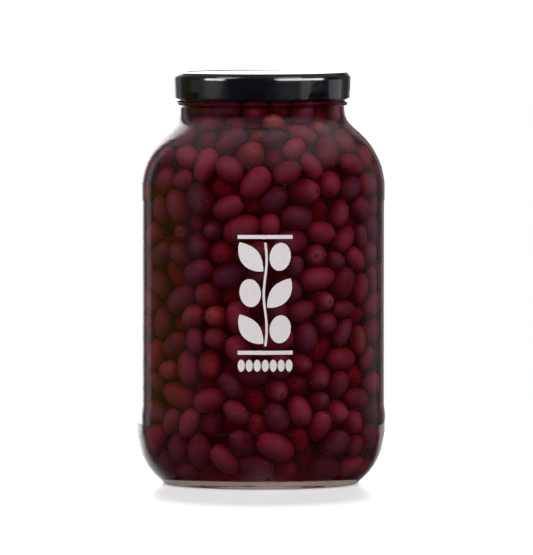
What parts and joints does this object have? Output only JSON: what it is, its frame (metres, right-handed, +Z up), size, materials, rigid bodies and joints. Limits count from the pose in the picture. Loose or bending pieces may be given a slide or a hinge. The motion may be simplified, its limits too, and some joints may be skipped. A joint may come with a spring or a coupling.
{
  "type": "jar of olives",
  "caption": "Wide-mouthed clear glass catering jar, filled to the neck with small dark wine-red olives in brine, closed by a black lacquered steel twist-off cap.",
  "frame": {"origin": "centre of the ring that the jar stands on, at table height", "axes": "+Z up along the jar's axis, -Y towards the side that carries the print"},
  "size_m": [0.1574, 0.1574, 0.2598],
  "materials": {
    "clear_glass": "clear, fire-polished",
    "olives": "wet, wine red to plum and brown",
    "cap_lacquer": "gloss blue-black lacquer",
    "liner_compound": "matte"
  },
  "bodies": {
    "root": {"glass_jar": "clear_glass", "olives_in_brine": "olives", "lid": "cap_lacquer", "lid_liner": "liner_compound"}
  },
  "joints": []
}
